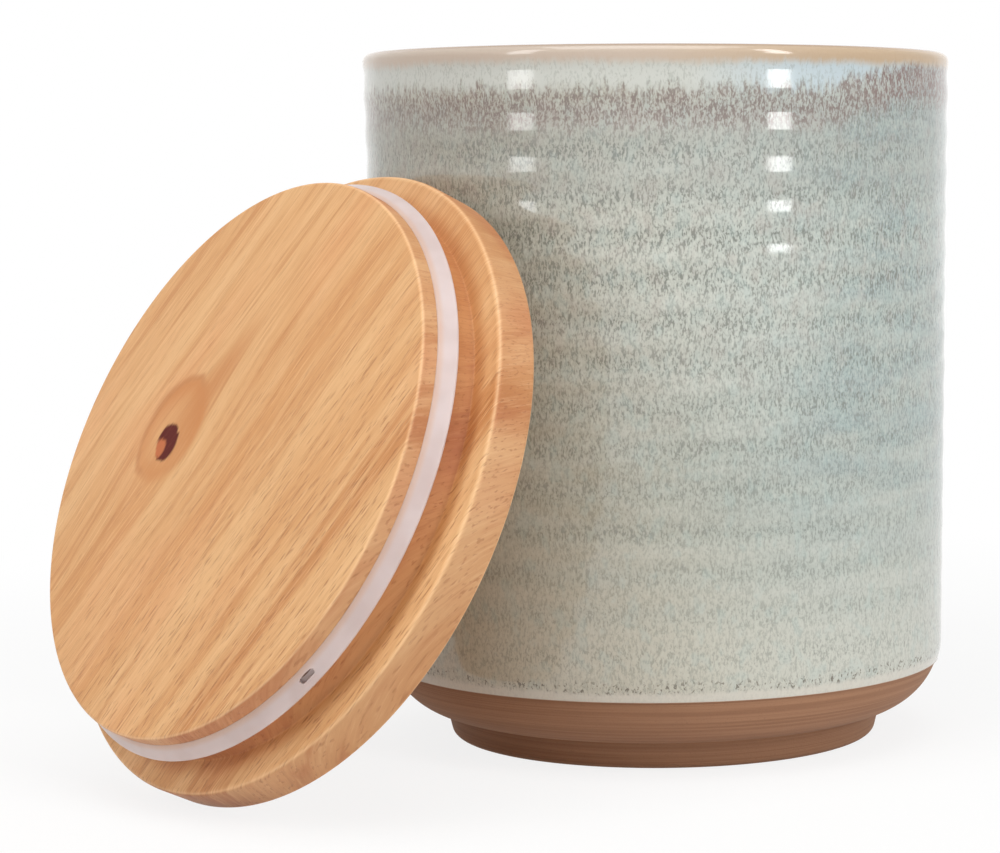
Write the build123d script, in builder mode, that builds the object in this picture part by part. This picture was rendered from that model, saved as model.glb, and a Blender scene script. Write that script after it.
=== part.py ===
from build123d import *
from math import acos, asin, cos, degrees, radians, sin
import os

# Stoneware storage jar with its turned wooden lid taken off and leaning on the jar's left front.
# Millimetres. The origin is the centre of the jar's foot on the table, with +Z up.

# Jar wall: near-cylindrical, a little wider at the mouth
jar_height = 165.0
mouth_outer_radius = 70.0
lower_wall_radius = 67.6
wall_thickness = 4.0
floor_thickness = 5.5
inner_corner_radius = 13.0

# Throwing rings: shallow hollows round the outer wall, deepest under the rim and fading downwards
ring_pitch = 9.4
ring_depth = 0.3
ring_count = 5

# Glaze: a fired coat that ends in a rolled edge on the lower corner, above the bare clay
glaze_thickness = 0.45
glaze_edge_height = 18.3

# Lower corner and foot, both of bare clay
lower_corner_radius = 17.0
foot_height = 6.2
foot_top_radius = 52.6
foot_bottom_radius = 51.2
foot_edge_radius = 2.2
foot_ring_width = 9.0
foot_recess = 2.5
foot_recess_chamfer = 1.0

# Lid: one turned blank, a flange that covers the rim and a plug that enters the mouth
flange_overhang = 3.3
flange_thickness = 10.4
flange_chamfer = 1.0
plug_clearance = 0.6
plug_depth = 14.4
plug_chamfer = 0.8

# Seal: a hollow silicone ring seated in a groove round the plug, with a slanted outer lip
groove_offset = 6.0
groove_width = 4.4
groove_depth = 2.3
seal_squeeze = 2.4
seal_skin = 0.8
seal_lip_width = 1.0
seal_chamfer = 0.3
vent_length = 4.4
vent_width = 1.3
vent_azimuth = -40.0

# Lid at rest: its top edge leans on the wall and its lower edge stands on the table
lean_from_upright = 25.2
lean_azimuth = 219.3
lean_clearance = 0.3

os.makedirs("parts", exist_ok=True)

# Jar body, one revolved stoneware section from the foot ring to the rounded rim
mouth_radius = mouth_outer_radius - wall_thickness
rim_crown_radius = wall_thickness / 2
rim_start_height = jar_height - rim_crown_radius
clay_wall_radius = lower_wall_radius - glaze_thickness
corner_centre_radius = clay_wall_radius - lower_corner_radius
corner_centre_height = foot_height + lower_corner_radius
corner_centre = (corner_centre_radius, corner_centre_height)
corner_start_angle = -degrees(acos((foot_top_radius - corner_centre_radius) / lower_corner_radius))
glaze_edge_angle = -degrees(asin((corner_centre_height - glaze_edge_height) / lower_corner_radius))
inner_floor = foot_height + floor_thickness
inner_corner_centre = (
    lower_wall_radius - wall_thickness - inner_corner_radius, inner_floor + inner_corner_radius)
foot_ring_inner_radius = foot_bottom_radius - foot_ring_width


def wall_radius_at(height):
    """Outer radius of the glazed wall over the ridges, which taper evenly from rim to lower corner."""
    share = (height - corner_centre_height) / (rim_start_height - corner_centre_height)
    return lower_wall_radius + (mouth_outer_radius - lower_wall_radius) * share


rings_bottom = rim_start_height - ring_count * ring_pitch

with BuildPart() as jar_body:
    with BuildSketch(Plane.XZ) as jar_section:
        with BuildLine():
            clay_corner = CenterArc(
                corner_centre, lower_corner_radius,
                corner_start_angle, glaze_edge_angle - corner_start_angle)
            glaze_corner = CenterArc(
                corner_centre, lower_corner_radius + glaze_thickness,
                glaze_edge_angle, -glaze_edge_angle)
            Line(clay_corner @ 1, glaze_corner @ 0)
            wall = Line(glaze_corner @ 1, (wall_radius_at(rings_bottom), rings_bottom))
            for ring in range(ring_count):
                hollow_height = rings_bottom + (ring + 0.5) * ring_pitch
                hollow_depth = ring_depth * (ring + 1) / ring_count
                ridge_height = hollow_height + ring_pitch / 2
                wall = ThreePointArc(
                    wall @ 1,
                    (wall_radius_at(hollow_height) - hollow_depth, hollow_height),
                    (wall_radius_at(ridge_height), ridge_height))
            rim = ThreePointArc(
                wall @ 1,
                (mouth_outer_radius - rim_crown_radius, jar_height),
                (mouth_radius, rim_start_height))
            inner_corner = CenterArc(inner_corner_centre, inner_corner_radius, 0, -90)
            Line(rim @ 1, inner_corner @ 0)
            Polyline(
                inner_corner @ 1,
                (0, inner_floor),
                (0, foot_recess),
                (foot_ring_inner_radius, foot_recess),
                (foot_ring_inner_radius, 0),
                (foot_bottom_radius, 0),
                clay_corner @ 0)
        make_face()
        foot_edge = jar_section.vertices().sort_by_distance((foot_bottom_radius, 0))[0]
        fillet(foot_edge, foot_edge_radius)
        recess_edge = jar_section.vertices().sort_by_distance((foot_ring_inner_radius, 0))[0]
        chamfer(recess_edge, foot_recess_chamfer)
    revolve(axis=Axis.Z)
jar_body.part.label = "jar_body"
export_step(jar_body.part, "parts/jar_body.step")

# Lid frame: its origin is the centre of the top face, and its Z points from there to the plug
tilt = radians(lean_from_upright)
azimuth = radians(lean_azimuth)
outward = Vector(cos(azimuth), sin(azimuth), 0)
upward = Vector(0, 0, 1)
lid_axis = outward * cos(tilt) + upward * sin(tilt)
flange_radius = mouth_outer_radius + flange_overhang
top_face_radius = flange_radius - flange_chamfer
lid_centre_height = flange_radius * cos(tilt) - flange_chamfer * sin(tilt)
contact_height = lid_centre_height + top_face_radius * cos(tilt)
lid_centre_reach = (
    wall_radius_at(contact_height) + lean_clearance + top_face_radius * sin(tilt))
lid_frame = Plane(
    origin=outward * lid_centre_reach + upward * lid_centre_height,
    x_dir=upward.cross(outward),
    z_dir=lid_axis)
lid_section_plane = Plane(
    origin=lid_frame.origin, x_dir=lid_frame.x_dir, z_dir=lid_frame.y_dir * -1)
lid_turning_axis = Axis(lid_frame.origin, lid_frame.z_dir)

plug_radius = mouth_radius - plug_clearance
plug_end = flange_thickness + plug_depth
groove_start = flange_thickness + groove_offset
groove_end = groove_start + groove_width
groove_radius = plug_radius - groove_depth

# Wooden lid, turned in one piece with a groove round the plug
with BuildPart() as wood_lid:
    with BuildSketch(lid_section_plane) as lid_section:
        with BuildLine():
            Polyline(
                (0, 0),
                (flange_radius, 0),
                (flange_radius, flange_thickness),
                (plug_radius, flange_thickness),
                (plug_radius, groove_start),
                (groove_radius, groove_start),
                (groove_radius, groove_end),
                (plug_radius, groove_end),
                (plug_radius, plug_end),
                (0, plug_end),
                close=True)
        make_face()
        for corner in ((flange_radius, 0), (flange_radius, flange_thickness)):
            chamfer(lid_section.vertices().sort_by_distance(corner)[0], flange_chamfer)
        plug_edge = lid_section.vertices().sort_by_distance((plug_radius, plug_end))[0]
        chamfer(plug_edge, plug_chamfer)
    revolve(axis=lid_turning_axis)
wood_lid.part.label = "wood_lid"
export_step(wood_lid.part, "parts/wood_lid.step")

# Seal ring, hollow inside, with one slot that lets the air out when the lip is squeezed
seal_radius = mouth_radius + seal_squeeze
lip_slope = Vector(seal_radius - plug_radius, groove_start + seal_lip_width - groove_end)
vent_reach = plug_radius + lip_slope.X / 2
vent_level = groove_end + lip_slope.Y / 2
vent_bearing = radians(vent_azimuth)
vent_outward = lid_frame.x_dir * cos(vent_bearing) + lid_frame.y_dir * sin(vent_bearing)
vent_normal = vent_outward * -lip_slope.Y + lid_frame.z_dir * lip_slope.X
vent_plane = Plane(
    origin=lid_frame.origin + vent_outward * vent_reach + lid_frame.z_dir * vent_level,
    x_dir=vent_outward.cross(lid_frame.z_dir),
    z_dir=vent_normal.normalized())

with BuildPart() as seal_ring:
    with BuildSketch(lid_section_plane) as seal_section:
        with BuildLine():
            Polyline(
                (groove_radius, groove_start),
                (seal_radius, groove_start),
                (seal_radius, groove_start + seal_lip_width),
                (plug_radius, groove_end),
                (groove_radius, groove_end),
                close=True)
        make_face()
        for lip_level in (groove_start, groove_start + seal_lip_width):
            lip_corner = seal_section.vertices().sort_by_distance((seal_radius, lip_level))[0]
            chamfer(lip_corner, seal_chamfer)
        offset(amount=-seal_skin, kind=Kind.INTERSECTION, mode=Mode.SUBTRACT)
    revolve(axis=lid_turning_axis)
    with BuildSketch(vent_plane):
        SlotOverall(vent_length, vent_width)
    extrude(amount=-2 * seal_skin, mode=Mode.SUBTRACT)
seal_ring.part.label = "seal_ring"
export_step(seal_ring.part, "parts/seal_ring.step")
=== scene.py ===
from math import acos, asin, atan2, cos, degrees, pi, radians, sin
import bmesh
import bpy
from mathutils import Matrix, Vector


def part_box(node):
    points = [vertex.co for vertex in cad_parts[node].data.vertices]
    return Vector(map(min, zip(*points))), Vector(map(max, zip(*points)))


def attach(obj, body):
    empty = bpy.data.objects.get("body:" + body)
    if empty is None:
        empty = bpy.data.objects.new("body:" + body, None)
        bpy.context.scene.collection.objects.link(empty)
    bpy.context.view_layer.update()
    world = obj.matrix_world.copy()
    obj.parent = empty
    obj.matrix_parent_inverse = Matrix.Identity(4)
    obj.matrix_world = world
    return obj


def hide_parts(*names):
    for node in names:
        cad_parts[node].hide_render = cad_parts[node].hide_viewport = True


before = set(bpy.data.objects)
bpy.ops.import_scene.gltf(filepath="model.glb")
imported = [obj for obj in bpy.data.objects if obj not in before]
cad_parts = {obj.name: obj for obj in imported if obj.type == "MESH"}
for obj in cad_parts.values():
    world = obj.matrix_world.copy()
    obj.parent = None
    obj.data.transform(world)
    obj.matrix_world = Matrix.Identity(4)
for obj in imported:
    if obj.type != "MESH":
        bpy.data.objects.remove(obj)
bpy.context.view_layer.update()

mm = 0.001


# Jar body. One thrown stoneware piece, glazed inside and out, with its lower corner and foot bare.
# The glaze is fired on: brown where it breaks over the rim, mauve and grey-green below, and cream
# near the rolled edge where it stops. Shallow throwing rings run all the way down the wall.
jar_top_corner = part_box("jar_body")[1]
jar_height = jar_top_corner.z
mouth_outer_radius = jar_top_corner.x
lower_wall_radius = 67.6 * mm
wall_thickness = 4.0 * mm
inner_floor = 11.7 * mm
inner_corner_radius = 13.0 * mm
glaze_thickness = 0.45 * mm
glaze_edge_height = 18.3 * mm
corner_radius = 17.0 * mm
foot_height = 6.2 * mm
foot_top_radius = 52.6 * mm
foot_bottom_radius = 51.2 * mm
foot_edge_radius = 2.2 * mm
foot_edge_inset = 0.86
foot_ring_width = 9.0 * mm
foot_inner_bevel = 0.6 * mm
foot_recess = 2.5 * mm
jar_sides = 320
wall_steps = 180

# Throwing rings: pitch, depth at the rim, and how they fade near the rim and down the wall
ring_pitch = 9.4 * mm
ring_depth = 0.3 * mm
ring_low_share = 0.30
first_ring = 1.4 * mm
rim_fade = 3.0 * mm
corner_fade_share = 1 / 12

corner_height = foot_height + corner_radius
corner_reach = lower_wall_radius - glaze_thickness - corner_radius
rim_radius = wall_thickness / 2
rim_height = jar_height - rim_radius


def arc(centre_r, centre_z, radius, start, end, steps):
    """Points of a profile along a round, with its angles in degrees."""
    turns = [radians(start + (end - start) * step / steps) for step in range(steps + 1)]
    return [(centre_r + radius * cos(turn), centre_z + radius * sin(turn)) for turn in turns]


def wall_radius(height):
    """The glazed wall with its throwing rings, which grow shallower down the jar."""
    share = (height - corner_height) / (rim_height - corner_height)
    depth = rim_height - height
    hollow = ring_depth * (ring_low_share + (1 - ring_low_share) * max(0.0, share))
    wave = (1 - cos(2 * pi * (depth + first_ring) / ring_pitch)) / 2
    taper = lower_wall_radius + (mouth_outer_radius - lower_wall_radius) * share
    return taper - hollow * wave * min(1.0, share / corner_fade_share, depth / rim_fade)


def turned(name, profile, sides, sharp=50, place=Matrix()):
    """A mesh turned about Z from (radius, height) points, smooth but for its arrises."""
    shape = bmesh.new()
    rows = []
    for reach, height in profile:
        if reach < 1e-7:
            rows.append([shape.verts.new((0, 0, height))])
            continue
        angles = [2 * pi * side / sides for side in range(sides)]
        rows.append([shape.verts.new((reach * cos(a), reach * sin(a), height)) for a in angles])
    for row, following in zip(rows, rows[1:]):
        for side in range(sides):
            beside = (side + 1) % sides
            corners = [row[side % len(row)], row[beside % len(row)],
                       following[beside % len(following)], following[side % len(following)]]
            face = list(dict.fromkeys(corners))
            if len(face) > 2:
                shape.faces.new(face).smooth = True
    bmesh.ops.recalc_face_normals(shape, faces=shape.faces)
    mesh = bpy.data.meshes.new(name)
    shape.to_mesh(mesh)
    shape.free()
    mesh.transform(place)
    mesh.set_sharp_from_angle(angle=radians(sharp))
    piece = bpy.data.objects.new(name, mesh)
    bpy.context.scene.collection.objects.link(piece)
    return piece


foot_inner_radius = foot_bottom_radius - foot_ring_width
foot_edge_reach = foot_bottom_radius - foot_edge_radius * foot_edge_inset
foot_side_lean = degrees(atan2(foot_top_radius - foot_bottom_radius, foot_height))
corner_start = -degrees(acos((foot_top_radius - corner_reach) / corner_radius))
glaze_start = -degrees(asin((corner_height - glaze_edge_height) / corner_radius))
wall_heights = [corner_height + (rim_height - corner_height) * step / wall_steps
                for step in range(1, wall_steps)]
inner_corner_reach = lower_wall_radius - wall_thickness - inner_corner_radius
inner_corner_height = inner_floor + inner_corner_radius
jar_profile = (
    [(0.0, foot_recess), (foot_inner_radius, foot_recess), (foot_inner_radius, foot_inner_bevel)]
    + [(foot_inner_radius + foot_inner_bevel, 0.0)]
    + arc(foot_edge_reach, foot_edge_radius, foot_edge_radius, -90, -foot_side_lean, steps=10)
    + arc(corner_reach, corner_height, corner_radius, corner_start, glaze_start, steps=24)
    + arc(corner_reach, corner_height, corner_radius + glaze_thickness, glaze_start, 0, steps=12)
    + [(wall_radius(height), height) for height in wall_heights]
    + arc(mouth_outer_radius - rim_radius, rim_height, rim_radius, 0, 180, steps=20)
    + arc(inner_corner_reach, inner_corner_height, inner_corner_radius, 0, -90, steps=16)
    + [(0.0, inner_floor)])
jar = turned("stoneware_jar", jar_profile, jar_sides)

# The thrown wall dried a little out of true: its rim dips to the right and to the back
rim_dip = 1.35 * mm
dip_along_x = 0.0174
dip_along_y = 0.0150
for vertex in jar.data.vertices:
    spot = vertex.co
    up_wall = max(0.0, (spot.z - corner_height) / (jar_height - corner_height))
    spot.z -= up_wall * (rim_dip + dip_along_x * spot.x + dip_along_y * spot.y)
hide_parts("jar_body")
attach(jar, "jar")


class Socket:
    """An output of a finish's nodes, on which sums add Math nodes."""

    def __init__(self, finish, socket):
        self.finish = finish
        self.socket = socket

    def maths(self, operation, *values):
        return self.finish.node("ShaderNodeMath", {"operation": operation}, values)

    def __add__(self, other):
        return self.maths("ADD", self, other)

    def __radd__(self, other):
        return self.maths("ADD", other, self)

    def __sub__(self, other):
        return self.maths("SUBTRACT", self, other)

    def __rsub__(self, other):
        return self.maths("SUBTRACT", other, self)

    def __mul__(self, other):
        return self.maths("MULTIPLY", self, other)

    def __rmul__(self, other):
        return self.maths("MULTIPLY", other, self)

    def __truediv__(self, other):
        return self.maths("DIVIDE", self, other)

    def __rtruediv__(self, other):
        return self.maths("DIVIDE", other, self)

    def __pow__(self, other):
        return self.maths("POWER", self, other)

    def __rpow__(self, other):
        return self.maths("POWER", other, self)

    def ramp(self, low, high, at_low=0.0, at_high=1.0, kind="SMOOTHSTEP"):
        """A smooth step of this value from one level to another."""
        settings = {"interpolation_type": kind}
        return self.finish.node("ShaderNodeMapRange", settings, [self, low, high, at_low, at_high])

    def between(self, rise, fall):
        """1 between two levels, with a smooth step at each."""
        return self.ramp(*rise) * self.ramp(*fall)

    def above_zero(self):
        """This value, or 0 where it is below 0."""
        return self.maths("MAXIMUM", self, 0.0)

    def bell(self):
        """1 where this squared distance is 0, falling away from there."""
        return self.maths("EXPONENT", self * -1.0)


class Finish:
    """The nodes of a material or of the world, round its one shader."""

    def __init__(self, owner, shader="Principled BSDF"):
        owner.use_nodes = True
        self.owner = owner
        self.tree = owner.node_tree
        self.shader = self.tree.nodes[shader]

    def join(self, target, value):
        if isinstance(value, Socket):
            self.tree.links.new(value.socket, target)
        else:
            target.default_value = value

    def node(self, kind, settings=None, sockets=(), output=0):
        """A node of any kind: its settings first, then values or links, in order or by socket."""
        made = self.tree.nodes.new(kind)
        for name, value in (settings or {}).items():
            setattr(made, name, value)
        chosen = sockets.items() if isinstance(sockets, dict) else enumerate(sockets)
        for place, value in chosen:
            self.join(made.inputs[place], value)
        return Socket(self, made.outputs[output])

    def blend(self, share, first, second, mode="MIX"):
        """One colour mixed into another by a share, or tinting it."""
        settings = {"data_type": "RGBA", "blend_type": mode}
        return self.node("ShaderNodeMix", settings, {0: share, 6: first, 7: second}, output=2)

    def spot(self):
        """The place on the object, in metres."""
        return self.node("ShaderNodeTexCoord", output="Object")

    def axes(self, place):
        """The x, y and z of a place."""
        return [self.node("ShaderNodeSeparateXYZ", None, [place], output=axis) for axis in "XYZ"]

    def measured(self, place):
        """The x, y and z of the spot in a tilted frame, in millimetres."""
        away = self.node("ShaderNodeVectorMath", {"operation": "SUBTRACT"},
                         [self.spot(), list(place.translation)])
        directions = [list(place.col[axis][:3]) for axis in range(3)]
        return [self.along(away, direction) / mm for direction in directions]

    def along(self, vector, direction):
        """How far a vector goes in a direction."""
        settings = {"operation": "DOT_PRODUCT"}
        return self.node("ShaderNodeVectorMath", settings, [vector, direction], output="Value")

    def noise_at(self, place, detail=2.0, roughness=0.5, distortion=0.0, seed=0.0):
        """Noise from 0 to 1 whose grains are one unit of the place across."""
        return self.node("ShaderNodeTexNoise", {"noise_dimensions": "4D"}, {
            "Vector": place, "W": seed, "Scale": 1.0, "Detail": detail,
            "Roughness": roughness, "Distortion": distortion})

    def noise(self, grains, **character):
        """Noise whose grains measure so many millimetres along each axis."""
        sockets = [self.spot(), [1 / (mm * size) for size in grains]]
        place = self.node("ShaderNodeVectorMath", {"operation": "MULTIPLY"}, sockets)
        return self.noise_at(place, **character)

    def relief(self, height):
        """A normal raised by a height in millimetres."""
        sockets = {"Strength": 1.0, "Distance": mm, "Height": height}
        return self.node("ShaderNodeBump", None, sockets, output="Normal")

    def set(self, **values):
        for name, value in values.items():
            self.join(self.shader.inputs[name.replace("_", " ")], value)


def colour(red, green, blue):
    """A colour as it is seen, from 0 to 255, in the linear scale that shaders use."""
    shares = [level / 255 for level in (red, green, blue)]
    return [s / 12.92 if s <= 0.04045 else ((s + 0.055) / 1.055) ** 2.4 for s in shares] + [1.0]


def distance(one_way, other_way):
    """How far a spot is, from its distances in two directions at right angles."""
    return (one_way * one_way + other_way * other_way) ** 0.5


# Where a spot is on the jar. Heights are in millimetres up the wall as thrown, before its dip.
glaze = Finish(bpy.data.materials.new("reactive_glaze_and_clay"))
across, depth_way, level_height = glaze.axes(glaze.spot())
up_wall = level_height.ramp(corner_height, jar_height, kind="LINEAR")
height = (level_height + up_wall * (across * dip_along_x + depth_way * dip_along_y + rim_dip)) / mm
reach = distance(across, depth_way)
ring_turn = ((rim_height + first_ring) / mm - height) * (2 * pi * mm / ring_pitch)
on_ridge = glaze.node("ShaderNodeMath", {"operation": "COSINE"}, [ring_turn]) * 0.5 + 0.5


def facing(bearing, near, far):
    """1 on the jar's side at a bearing in degrees, fading out between two angles from it."""
    towards = (across * cos(radians(bearing)) + depth_way * sin(radians(bearing))) / reach
    return towards.ramp(cos(radians(far)), cos(radians(near)))


right_side = facing(-20, near=20, far=80)
right_front = facing(-46, near=8, far=40)
rising_sweep = facing(-15, near=8, far=46)
painted_sheen_side = facing(-84, near=4, far=34)

# Patterns that the melted glaze left: short streaks, specks, runs, and clouds along the rings
streaks = glaze.noise((0.72, 0.72, 1.9), roughness=0.55, distortion=0.8)
fine_streaks = glaze.noise((0.42, 0.42, 0.85), roughness=0.6, distortion=0.5, seed=3.0)
streak_mark = streaks * 0.5 + fine_streaks * 0.5
specks = glaze.noise((0.8, 0.8, 1.1), roughness=0.6, distortion=0.8, seed=7.0)
tinges = glaze.noise((3.5, 3.5, 5.0), seed=53.0)
drips = glaze.noise((1.5, 1.5, 9.0), seed=11.0)
clouds = glaze.noise((22.0, 22.0, 5.0), seed=17.0)
wide_clouds = glaze.noise((55.0, 55.0, 30.0), detail=1.0, seed=23.0)

# The wall: grey-green above, cream below, with a painted pale patch of soft reflected light on the
# side facing the front
cream_gives_way = (20.0, 80.0)
streaks_deepen = (35.0, 135.0)
upper = height.ramp(*streaks_deepen)
grey_green = glaze.blend(right_side, colour(176, 176, 162), colour(164, 177, 175))
grey_green = glaze.blend(clouds.ramp(0.35, 0.7) * 0.6, grey_green, colour(194, 198, 189))
lower_cream = glaze.blend(right_side, colour(194, 191, 176), colour(199, 200, 190))
body = glaze.blend(height.ramp(*cream_gives_way), lower_cream, grey_green)
# Painted sheen: a paler patch on the front of the wall stands in for the soft light reflected there
painted_sheen = painted_sheen_side * height.between((60.0, 105.0), (158.0, 148.0))
body = glaze.blend(painted_sheen * 0.40, body, colour(212, 214, 206))
in_hollow = (1 - on_ridge) * height.between((25.0, 45.0), (150.0, 130.0))
body = glaze.blend(in_hollow * 0.22, body, colour(160, 170, 162))

# Dark and light streaks, thickest in the hollows and the clouds' gaps, then specks and tinges
streak_grey = colour(112, 115, 108)
dark_share = streak_mark.ramp(0.52, 0.42) * (0.40 + upper * 0.38)
dark_share = dark_share * (0.66 + (1 - on_ridge) * 0.36 - (clouds - 0.5) * 0.7)
body = glaze.blend(dark_share, body, streak_grey)
light_share = streak_mark.ramp(0.53, 0.63) * (0.25 + upper * 0.35)
body = glaze.blend(light_share, body, colour(206, 210, 200))
body = glaze.blend(specks.ramp(0.42, 0.34) * 0.35, body, colour(136, 139, 131))
body = glaze.blend(tinges.ramp(0.5, 0.68) * 0.22 * upper, body, colour(176, 160, 152))
body = glaze.blend(tinges.ramp(0.48, 0.34) * 0.22, body, colour(176, 196, 192))

# Under the rim: a greyer belt, a mauve belt broken by the streaks, and a pale one that runs into it
run_length = 9.0
streak_length = 3.0
sweep_rise = 6.0
run_height = height + (drips - 0.5) * run_length + (streaks - 0.5) * streak_length
run_height = run_height - rising_sweep * sweep_rise
grey_belt = height.between((122.0, 140.0), (154.0, 149.0))
body = glaze.blend(grey_belt * 0.32, body, colour(146, 150, 146))
mauve_belt = run_height.between((144.0, 149.0), (157.5, 154.0))
mauve_strength = 0.34 + wide_clouds * 0.7 + rising_sweep * 0.45
mauve_share = mauve_belt * (0.24 + streak_mark.ramp(0.56, 0.44) * 0.65) * mauve_strength
body = glaze.blend(mauve_share, body, colour(132, 110, 105))
pale_belt = run_height.ramp(153.5, 157.5)
pale_share = pale_belt * (1 - streak_mark.ramp(0.50, 0.42) * 0.30)
pale_share = pale_share * (1 - drips.ramp(0.50, 0.34) * height.ramp(160.0, 155.0) * 0.35)
pale_glaze = glaze.blend(right_front, colour(195, 197, 190), colour(188, 201, 206))
body = glaze.blend(pale_share, body, pale_glaze)

# The rim, tan turning to gold on the right, where the glaze drew back off the clay, and a dark line
# along its crown that is partly painted shade
tan_edge = height + (drips - 0.5) * 2.2 + (clouds - 0.5) * 2.5
rim_tan = glaze.blend(right_side, colour(194, 175, 158), colour(190, 160, 124))
body = glaze.blend(tan_edge.ramp(159.9, 162.5) * 0.9, body, rim_tan)
# A thin dark line along the top of the crown: partly the brown where the glaze breaks over the rim,
# partly painted shade
body = glaze.blend(height.ramp(164.3, 164.9) * 0.6, body, colour(142, 108, 76))

# The rolled edge above the clay, with pinholes along its upper side
edge_wander = height + (glaze.noise((14.0, 14.0, 14.0), seed=31.0) - 0.5) * 1.2
body = glaze.blend(edge_wander.ramp(21.2, 19.6) * 0.75, body, colour(214, 209, 198))
pinhole_belt = edge_wander.between((19.8, 20.8), (24.0, 21.5))
pinholes = specks.ramp(0.46, 0.36) * pinhole_belt * 0.8
body = glaze.blend(pinholes, body, colour(112, 104, 92))

# The inner glaze: within a line half-way through the wall, its taper and its inner corner
core_height = 24.0
core_reach = 50.4
core_flare = (mouth_outer_radius - lower_wall_radius) / (rim_height - corner_height)
flare = (height - core_height).above_zero() * core_flare
past_corner = (reach / mm - flare - core_reach).above_zero()
below_corner = (core_height - height).above_zero()
from_core = distance(past_corner, below_corner)
inside = from_core.ramp(15.4, 15.0) * height.between((11.0, 11.3), (164.0, 162.0))
inner_glaze = glaze.blend(streak_mark.ramp(0.5, 0.4) * 0.5, colour(202, 204, 192), streak_grey)
body = glaze.blend(inside, body, inner_glaze)

# Bare clay, with turning lines and grit
edge_softness = 0.12
turning = glaze.noise((90.0, 90.0, 0.55), detail=3.0, roughness=0.6, seed=41.0)
grit = glaze.noise((0.35, 0.35, 0.35), seed=43.0)
clay = glaze.blend(turning.ramp(0.35, 0.65), colour(146, 104, 76), colour(164, 121, 91))
clay = glaze.blend(grit.ramp(0.58, 0.7) * 0.35, clay, colour(120, 84, 62))
glaze_edge = glaze_edge_height / mm
below_edge = height.ramp(glaze_edge + edge_softness, glaze_edge - edge_softness)
clay_share = below_edge * (1 - inside)

glaze_relief = streak_mark * 0.012 + specks * 0.008 + clouds * 0.05
clay_relief = turning * 0.10 + grit * 0.05
glaze.set(
    Base_Color=glaze.blend(clay_share, body, clay),
    Roughness=(0.05 + streak_mark * 0.06) * (1 - clay_share) + clay_share * 0.78,
    Normal=glaze.relief(glaze_relief * (1 - clay_share) + clay_relief * clay_share),
    IOR=1.52)
jar.data.materials.append(glaze.owner)


# Lid. One turned blank of a pale, coarse-pored hardwood, oiled: a flange that covers the rim and a
# plug that enters the mouth, with a groove for the seal. The grain lies across both faces alike.
# It leans on the jar with its plug outwards, its lower edge on the table.
flange_radius = mouth_outer_radius + 3.3 * mm
flange_thickness = 10.4 * mm
flange_chamfer = 1.0 * mm
flange_round = 1.3 * mm
plug_radius = mouth_outer_radius - wall_thickness - 0.6 * mm
plug_end = flange_thickness + 14.4 * mm
plug_round = 0.9 * mm
plug_root_bevel = 0.35 * mm
groove_start = flange_thickness + 6.4 * mm
groove_end = groove_start + 4.0 * mm
groove_radius = plug_radius - 2.3 * mm
lean_from_upright = radians(25.2)
lean_azimuth = radians(219.3)
lean_clearance = 0.3 * mm
lid_sides = 320

# Where the lid stands, worked out from its two contacts as in the solids
top_face = flange_radius - flange_chamfer
outward = Vector((cos(lean_azimuth), sin(lean_azimuth), 0))
upward = Vector((0, 0, 1))
lid_axis = outward * cos(lean_from_upright) + upward * sin(lean_from_upright)
lid_height = flange_radius * cos(lean_from_upright) - flange_chamfer * sin(lean_from_upright)
contact = lid_height + top_face * cos(lean_from_upright)
contact_share = (contact - corner_height) / (rim_height - corner_height)
contact_radius = lower_wall_radius + (mouth_outer_radius - lower_wall_radius) * contact_share
lid_reach = contact_radius + lean_clearance + top_face * sin(lean_from_upright)
level = upward.cross(outward)
upslope = lid_axis.cross(level)
lid_place = Matrix((level, upslope, lid_axis)).transposed().to_4x4()
lid_place.translation = outward * lid_reach + upward * lid_height

flange_ring = flange_radius - flange_round
lid_profile = (
    [(0.0, 0.0)]
    + arc(flange_ring, flange_round, flange_round, -90, 0, steps=8)
    + arc(flange_ring, flange_thickness - flange_round, flange_round, 0, 90, steps=8)
    + [(plug_radius + plug_root_bevel, flange_thickness)]
    + [(plug_radius, flange_thickness + plug_root_bevel)]
    + [(plug_radius, groove_start), (groove_radius, groove_start)]
    + [(groove_radius, groove_end), (plug_radius, groove_end)]
    + arc(plug_radius - plug_round, plug_end - plug_round, plug_round, 0, 90, steps=8)
    + [(0.0, plug_end)])
lid = turned("turned_wood_lid", lid_profile, lid_sides, place=lid_place)
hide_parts("wood_lid")
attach(lid, "lid")

# Where a spot is in the wood, in millimetres: along the grain and over it
wood = Finish(bpy.data.materials.new("oiled_coarse_grained_wood"))
wood_x, wood_y, wood_z = wood.measured(lid_place)
wood_reach = distance(wood_x, wood_y)
grain_bearing = radians(61.0)
along = wood_x * cos(grain_bearing) + wood_y * sin(grain_bearing)
over = wood_x * sin(grain_bearing) - wood_y * cos(grain_bearing)

# A small knot shows on the plug's face, and the grain flows round it
knot_x = -25.9
knot_y = 1.0
knot_along = knot_x * cos(grain_bearing) + knot_y * sin(grain_bearing)
knot_over = knot_x * sin(grain_bearing) - knot_y * cos(grain_bearing)
from_along = along - knot_along
from_over = over - knot_over
on_plug_face = wood_z.ramp(12.0, 17.0)
flow_along = 520.0
flow_over = 170.0
flow_bend = 0.62
flow = (from_along * from_along / flow_along + from_over * from_over / flow_over).bell()
bent = over - from_over * (flow * on_plug_face) * flow_bend

# The tree's rings wander a little across the disc and tilt through its thickness
drift_reach = 7.0
ring_tilt = -0.33
drift_grains = [along / 90.0, over / 60.0, wood_z / 60.0]
drift_place = wood.node("ShaderNodeCombineXYZ", None, drift_grains)
drift = (wood.noise_at(drift_place, detail=1.0) - 0.5) * drift_reach
level_over = bent + drift + wood_z * ring_tilt


def grain(length, width, thickness, **character):
    """Noise drawn out along the grain, its sizes in millimetres."""
    sizes = [along / length, level_over / width, wood_z / thickness]
    return wood.noise_at(wood.node("ShaderNodeCombineXYZ", None, sizes), **character)


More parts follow.
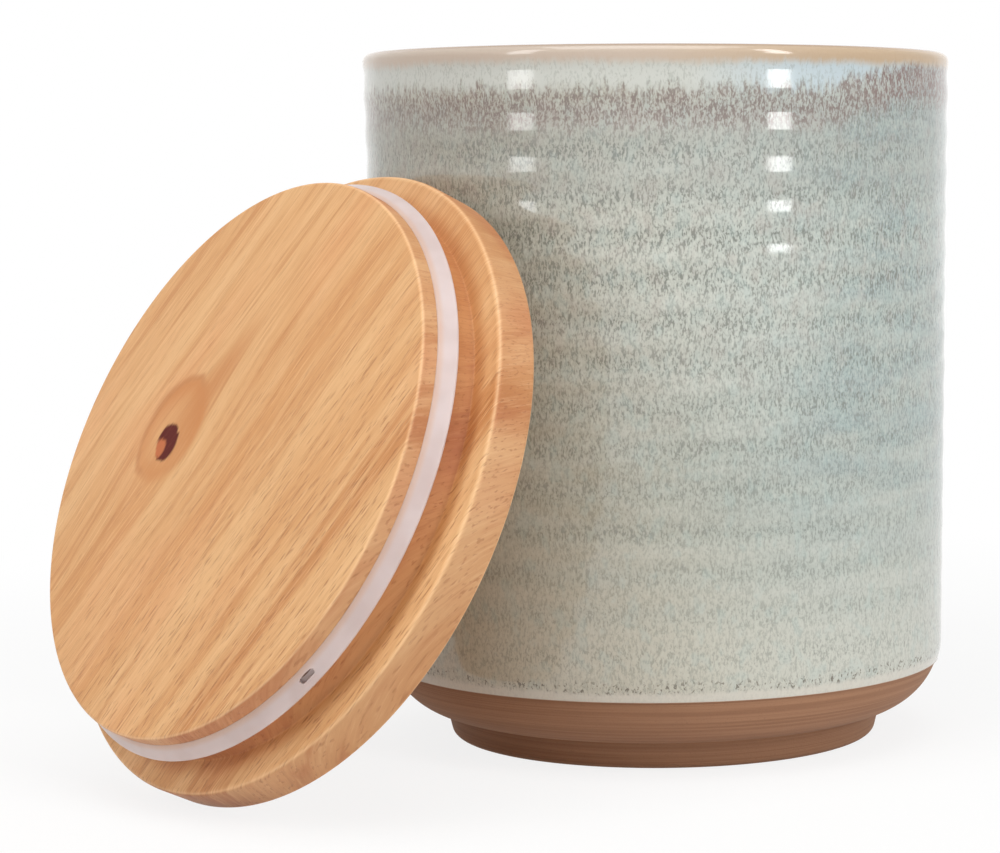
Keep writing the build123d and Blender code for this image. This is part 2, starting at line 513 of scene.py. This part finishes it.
bands = grain(160.0, 11.0, 40.0, seed=1.0)
fine_bands = grain(80.0, 3.4, 30.0, detail=3.0, roughness=0.65, seed=5.0)
fibres = grain(16.0, 0.42, 8.0, detail=3.0, roughness=0.7, seed=9.0)
pores = grain(4.0, 0.40, 1.2, detail=1.0, roughness=0.4, seed=13.0)
long_pores = grain(9.0, 0.5, 1.5, detail=1.0, roughness=0.4, seed=19.0)
patches = grain(60.0, 22.0, 40.0, detail=1.0, seed=29.0)

# The turned sides show the boards' edges, calmer and redder than the faces
lid_normal = wood.node("ShaderNodeTexCoord", output="Normal")
face_turn = wood.along(lid_normal, list(lid_axis))
on_face = wood.node("ShaderNodeMath", {"operation": "ABSOLUTE"}, [face_turn]).ramp(0.3, 0.9)
strength = 0.75 + on_face * 0.25

# Bands, one orange streak near the disc's edge, pale and pink patches, and fibres
timber = wood.blend(bands.ramp(0.34, 0.66), colour(211, 153, 98), colour(227, 179, 126))
fine_share = fine_bands.ramp(0.46, 0.66) * (0.25 + patches * 0.75) * strength
timber = wood.blend(fine_share, timber, colour(198, 135, 80))
streak_middle = 71.5
streak_width = 4.5
from_streak = (from_over - streak_middle) / streak_width
orange_share = (from_streak * from_streak).bell() * fine_bands.ramp(0.3, 0.6) * 0.75
timber = wood.blend(orange_share, timber, colour(190, 122, 66))
timber = wood.blend(patches.ramp(0.5, 0.75) * 0.4, timber, colour(228, 166, 116))
timber = wood.blend(fibres.ramp(0.5, 0.66) * 0.45 * strength, timber, colour(238, 194, 144))
timber = wood.blend(fibres.ramp(0.48, 0.32) * 0.42 * strength, timber, colour(182, 120, 70))

# Open pores, coarser towards one edge of the disc
coarse = (wood_x - wood_y).ramp(-40.0, 60.0, 0.35, 1.0)
pore_share = pores.ramp(0.60, 0.72) * coarse * strength
long_share = long_pores.ramp(0.64, 0.74) * 0.7 * coarse * strength
timber = wood.blend(pore_share * 0.55, timber, colour(172, 108, 60))
timber = wood.blend(long_share * 0.8, timber, colour(168, 106, 58))

# Painted shade on the neck between flange and seal, and the growth lines on the sides
# Painted shade: the neck, tucked between flange and seal, is darkened and reddened
painted_neck_shade = wood_z.between((17.0, 16.0), (9.8, 10.3)) * wood_reach.ramp(70.5, 66.0)
timber = wood.blend(painted_neck_shade, timber, colour(236, 214, 190), mode="MULTIPLY")
redness = wood.noise((26.0, 26.0, 26.0), seed=61.0)
side_tone = wood.blend(redness.ramp(0.42, 0.62), colour(236, 232, 236), colour(226, 206, 204))
timber = wood.blend(1 - on_face, timber, side_tone, mode="MULTIPLY")
side_lines = fine_bands.ramp(0.54, 0.62) * (1 - on_face)
timber = wood.blend(side_lines * 0.42, timber, colour(178, 112, 70))


def arris(at_reach, at_height, width):
    """1 along an edge of the turning, at a radius and height in millimetres."""
    wide = (wood_reach - at_reach) / width
    high = (wood_z - at_height) / width
    return (wide * wide + high * high).bell()


# Painted highlights along the arrises, just inside the corners of the section
flange_highlight_inset = 0.4
plug_highlight_inset = 0.3
flange_arris = flange_radius / mm - flange_highlight_inset
arrises = (arris(flange_arris, flange_thickness / mm - flange_highlight_inset, width=0.30)
           + arris(plug_radius / mm - plug_highlight_inset, plug_end / mm - plug_highlight_inset, width=0.28)
           + arris(flange_arris, flange_highlight_inset, width=0.30))
# Painted highlight: pale lines along the rounded arrises, brighter where the fibres are
timber = wood.blend(arrises * (0.10 + fibres * 0.5), timber, colour(248, 208, 162))

# The knot: a ruddy oval halo with a line round it, a tail along the grain, and a dark eye with a
# lighter heart. Half lengths and half widths are in millimetres.
halo_half_length = 13.5
halo_half_width = 10.5
tail_middle = 20.0
tail_half_length = 14.0
tail_half_width = 4.0
eye_half_width = 3.9
eye_half_height = 4.5
heart_half_width = 2.4
heart_half_height = 2.6

halo_far = distance((from_along - 3.0) / halo_half_length, (from_over + 1.2) / halo_half_width)
halo_far = halo_far + (fine_bands - 0.5) * 0.5
halo = halo_far.ramp(1.15, 0.85) * on_plug_face
halo_depth = 0.30 + halo_far.ramp(0.45, 1.0) * 0.36 + from_along.ramp(-4.0, 12.0) * 0.30
timber = wood.blend(halo * halo_depth, timber, colour(200, 131, 74))
halo_line = halo_far.between((0.88, 0.98), (1.12, 1.0)) * from_over.ramp(3.0, -5.0) * on_plug_face
timber = wood.blend(halo_line * 0.38, timber, colour(176, 108, 58))
tail_along = (from_along - tail_middle) / tail_half_length
tail_over = (from_over - 2.5) / tail_half_width
tail = (tail_along * tail_along + tail_over * tail_over).bell()
timber = wood.blend(tail * 0.7 * on_plug_face, timber, colour(196, 130, 76))
from_eye_x = wood_x - knot_x
from_eye_y = wood_y - knot_y
eye_far = distance(from_eye_x / eye_half_width, from_eye_y / eye_half_height)
eye = (eye_far + (fibres - 0.5) * 0.7).ramp(1.12, 0.9) * on_plug_face
heart_far = distance((from_eye_x + 2.2) / heart_half_width, (from_eye_y + 1.6) / heart_half_height)
in_heart = (heart_far + (fibres - 0.5) * 1.2).ramp(1.1, 0.6)
dark_eye = wood.blend(fibres.ramp(0.55, 0.7) * 0.5, colour(88, 20, 8), colour(150, 84, 66))
knot_tone = wood.blend(in_heart, dark_eye, colour(192, 110, 68))
timber = wood.blend(eye, timber, knot_tone)

wood.set(
    Base_Color=timber,
    Roughness=0.50 + fibres * 0.12 + eye * 0.3,
    Normal=wood.relief(pore_share * -0.10 + long_share * -0.10 + fibres * 0.03 - eye * 0.12),
    IOR=1.46)
lid.data.materials.append(wood.owner)


# Seal. A hollow ring of clear silicone pressed into the groove round the plug, its slanted lip
# standing out towards the flange. One small slot lets the air out when the mouth squeezes it.
seal_radius = mouth_outer_radius - wall_thickness + 1.9 * mm
seal_lip = 1.0 * mm
lip_round = 0.5 * mm
lip_foot_reach = 0.25 * mm
lip_foot_height = 0.15 * mm
seal_sides = 320

seal_profile = (
    [(groove_radius, groove_start), (seal_radius - lip_round, groove_start)]
    + arc(seal_radius - lip_round, groove_start + lip_round, lip_round, -80, 35, steps=8)
    + [(plug_radius + lip_foot_reach, groove_end - lip_foot_height), (plug_radius, groove_end)]
    + [(groove_radius, groove_end), (groove_radius, groove_start)])
seal = turned("silicone_seal", seal_profile, seal_sides, sharp=70, place=lid_place)

# The vent is a slot with round ends, cut into the slope of the lip
vent_bearing = radians(-40.0)
vent_length = 4.4 * mm
vent_width = 1.3 * mm
vent_depth = 1.0 * mm
lip_foot = Vector((plug_radius + lip_foot_reach, 0, groove_end - lip_foot_height))
lip_slope = Vector((seal_radius - 0.1 * mm, 0, groove_start + 0.8 * mm)) - lip_foot
round_ring = Vector((0, 1, 0))
vent_axes = Matrix((round_ring, lip_slope.normalized(), round_ring.cross(lip_slope).normalized()))
vent_place = lid_place @ Matrix.Rotation(vent_bearing, 4, "Z")
vent_place = vent_place @ Matrix.Translation(lip_foot + lip_slope * 0.5)
vent_place = vent_place @ vent_axes.transposed().to_4x4()
vent_end = vent_width / 2
vent_straight = (vent_length - vent_width) / 2
vent_outline = (arc(vent_straight, 0, vent_end, -90, 90, steps=10)
                + arc(-vent_straight, 0, vent_end, 90, 270, steps=10))
shape = bmesh.new()
vent_floor = [shape.verts.new((x, y, -vent_depth)) for x, y in vent_outline]
vent_mouth = [shape.verts.new((x, y, vent_depth)) for x, y in vent_outline]
shape.faces.new(vent_floor)
shape.faces.new(vent_mouth)
for side in range(len(vent_outline)):
    low_edge = [vent_floor[side - 1], vent_floor[side]]
    high_edge = [vent_mouth[side], vent_mouth[side - 1]]
    shape.faces.new(low_edge + high_edge)
bmesh.ops.recalc_face_normals(shape, faces=shape.faces)
vent_mesh = bpy.data.meshes.new("vent_slot")
shape.to_mesh(vent_mesh)
shape.free()
vent_mesh.transform(vent_place)
vent_slot = bpy.data.objects.new("vent_slot", vent_mesh)
bpy.context.scene.collection.objects.link(vent_slot)
cut = seal.modifiers.new("vent", "BOOLEAN")
cut.object = vent_slot
cut.solver = "EXACT"
cut_seal = seal.evaluated_get(bpy.context.evaluated_depsgraph_get())
seal_mesh = bpy.data.meshes.new_from_object(cut_seal)
seal.modifiers.clear()
seal.data = seal_mesh
seal_mesh.set_sharp_from_angle(angle=radians(60))
bpy.data.objects.remove(vent_slot)
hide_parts("seal_ring")
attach(seal, "lid")

# Clear silicone, milky in the bulk, warmer where the thin side shows the wood, and with painted
# shade in the vent
rubber = Finish(bpy.data.materials.new("translucent_silicone"))
seal_x, seal_y, seal_z = rubber.measured(lid_place)
vent_side = seal_x * sin(vent_bearing) - seal_y * cos(vent_bearing)
vent_out = seal_x * cos(vent_bearing) + seal_y * sin(vent_bearing)
vent_level = (groove_end + groove_start + seal_lip) / 2 / mm
vent_half_length = vent_length / mm / 2
vent_half_rise = vent_width / mm * 0.36
vent_far = distance(vent_side / vent_half_length, (seal_z - vent_level) / vent_half_rise)
# Painted shade: inside the vent slot the seal is darkened to a shaded brown
vent = vent_far.ramp(1.1, 0.85) * vent_out.ramp(50.0, 60.0)
cloudy = rubber.noise((9.0, 9.0, 9.0))
dust = rubber.noise((0.7, 0.7, 0.7), seed=5.0)
thin_edge = seal_z.ramp(groove_end / mm - 1.4, groove_end / mm - 0.3)
milk = rubber.blend(cloudy.ramp(0.35, 0.65), colour(200, 182, 178), colour(208, 192, 189))
milk = rubber.blend(thin_edge * 0.55, milk, colour(206, 168, 142))
milk = rubber.blend(vent, milk, colour(120, 84, 66))
rubber.set(
    Base_Color=milk,
    Roughness=0.36 + dust * 0.12,
    Normal=rubber.relief(dust * 0.02),
    IOR=1.41,
    Subsurface_Weight=0.5,
    Subsurface_Radius=[1.0, 0.8, 0.7],
    Subsurface_Scale=1.6 * mm)
seal.data.materials.append(rubber.owner)


# Floor, backdrop and studio light. A pale table and a white surround, one large soft light above,
# two upright strips in front, whose reflections stand on the jar's wall, and a soft one behind.
floor_size = 6.0
floor_drop = 0.2 * mm
shape = bmesh.new()
bmesh.ops.create_grid(shape, x_segments=1, y_segments=1, size=floor_size / 2)
floor_mesh = bpy.data.meshes.new("floor")
shape.to_mesh(floor_mesh)
shape.free()
floor = bpy.data.objects.new("floor", floor_mesh)
floor.location = (0, 0, -floor_drop)
bpy.context.scene.collection.objects.link(floor)


def white_rays(finish):
    """1 for the rays that meet plain white: the camera's, and those of gloss and of glass."""
    kinds = ("Is Camera Ray", "Is Glossy Ray", "Is Transmission Ray")
    seen, mirrored, through = [finish.node("ShaderNodeLightPath", output=kind) for kind in kinds]
    return seen + mirrored + through


# The table keeps a faint shadow near the jar and is plain white further out
shadow_fades = (0.16, 0.40)
white_near = 0.84
table = Finish(bpy.data.materials.new("pale_table"))
table.set(Base_Color=colour(244, 243, 241), Roughness=0.9)
far = table.node("ShaderNodeVectorMath", {"operation": "LENGTH"}, [table.spot()], output="Value")
white_share = white_rays(table) * far.ramp(*shadow_fades, white_near, 1.0)
plain_white = table.node("ShaderNodeEmission", None, [(1, 1, 1, 1), 1.0])
pale_surface = Socket(table, table.shader.outputs[0])
mixed = table.node("ShaderNodeMixShader", None, [white_share, pale_surface, plain_white])
table.join(table.tree.nodes["Material Output"].inputs[0], mixed)
floor.data.materials.append(table.owner)

surround_light = 0.35
studio = Finish(bpy.data.worlds.new("studio"), "Background")
bpy.context.scene.world = studio.owner
surround = white_rays(studio).ramp(0.0, 1.0, surround_light, 1.0, kind="LINEAR")
studio.set(Color=(1, 1, 1, 1), Strength=surround)


def studio_light(name, place, width, length, power, aim):
    """A rectangular soft light turned towards a point."""
    lamp = bpy.data.lights.new(name, "AREA")
    lamp.shape = "RECTANGLE"
    lamp.size = width
    lamp.size_y = length
    lamp.energy = power
    light = bpy.data.objects.new(name, lamp)
    light.location = place
    light.rotation_euler = (Vector(aim) - Vector(place)).to_track_quat("-Z", "Y").to_euler()
    bpy.context.scene.collection.objects.link(light)


studio_light("overhead_box", (-0.05, -0.45, 1.1), 1.0, 0.8, 7.6, aim=(0, 0, 0.08))
studio_light("right_strip", (0.742, -0.688, 0.56), 0.16, 0.80, 4.4, aim=(0, 0, 0.56))
studio_light("left_strip", (-0.795, -0.646, 0.56), 0.18, 0.80, 2.6, aim=(0, 0, 0.56))
studio_light("back_wall", (0.0, 1.2, 0.5), 2.10, 1.2, 1.4, aim=(0, 0, 0.3))


# Camera, at the photograph's viewing angle: in front of the jar, just below its rim, with a long
# lens. It is turned a little to the left, dips a little and is slightly out of level.
camera_distance = 772.5 * mm
camera_height = 147.2 * mm
camera_turn = -0.0499
camera_dip = 0.0937
camera_roll = 0.0180
focal_share = 3.195
sensor = 36.0

lens = bpy.data.cameras.new("camera")
lens.sensor_width = sensor
lens.lens = focal_share * sensor
lens.clip_start = 10 * mm
camera = bpy.data.objects.new("camera", lens)
camera.matrix_world = (
    Matrix.Translation((0, -camera_distance, camera_height))
    @ Matrix.Rotation(-camera_turn, 4, "Z")
    @ Matrix.Rotation(pi / 2 - camera_dip, 4, "X")
    @ Matrix.Rotation(-camera_roll, 4, "Z"))
bpy.context.scene.collection.objects.link(camera)
bpy.context.scene.camera = camera
bpy.context.scene.view_settings.view_transform = "Standard"
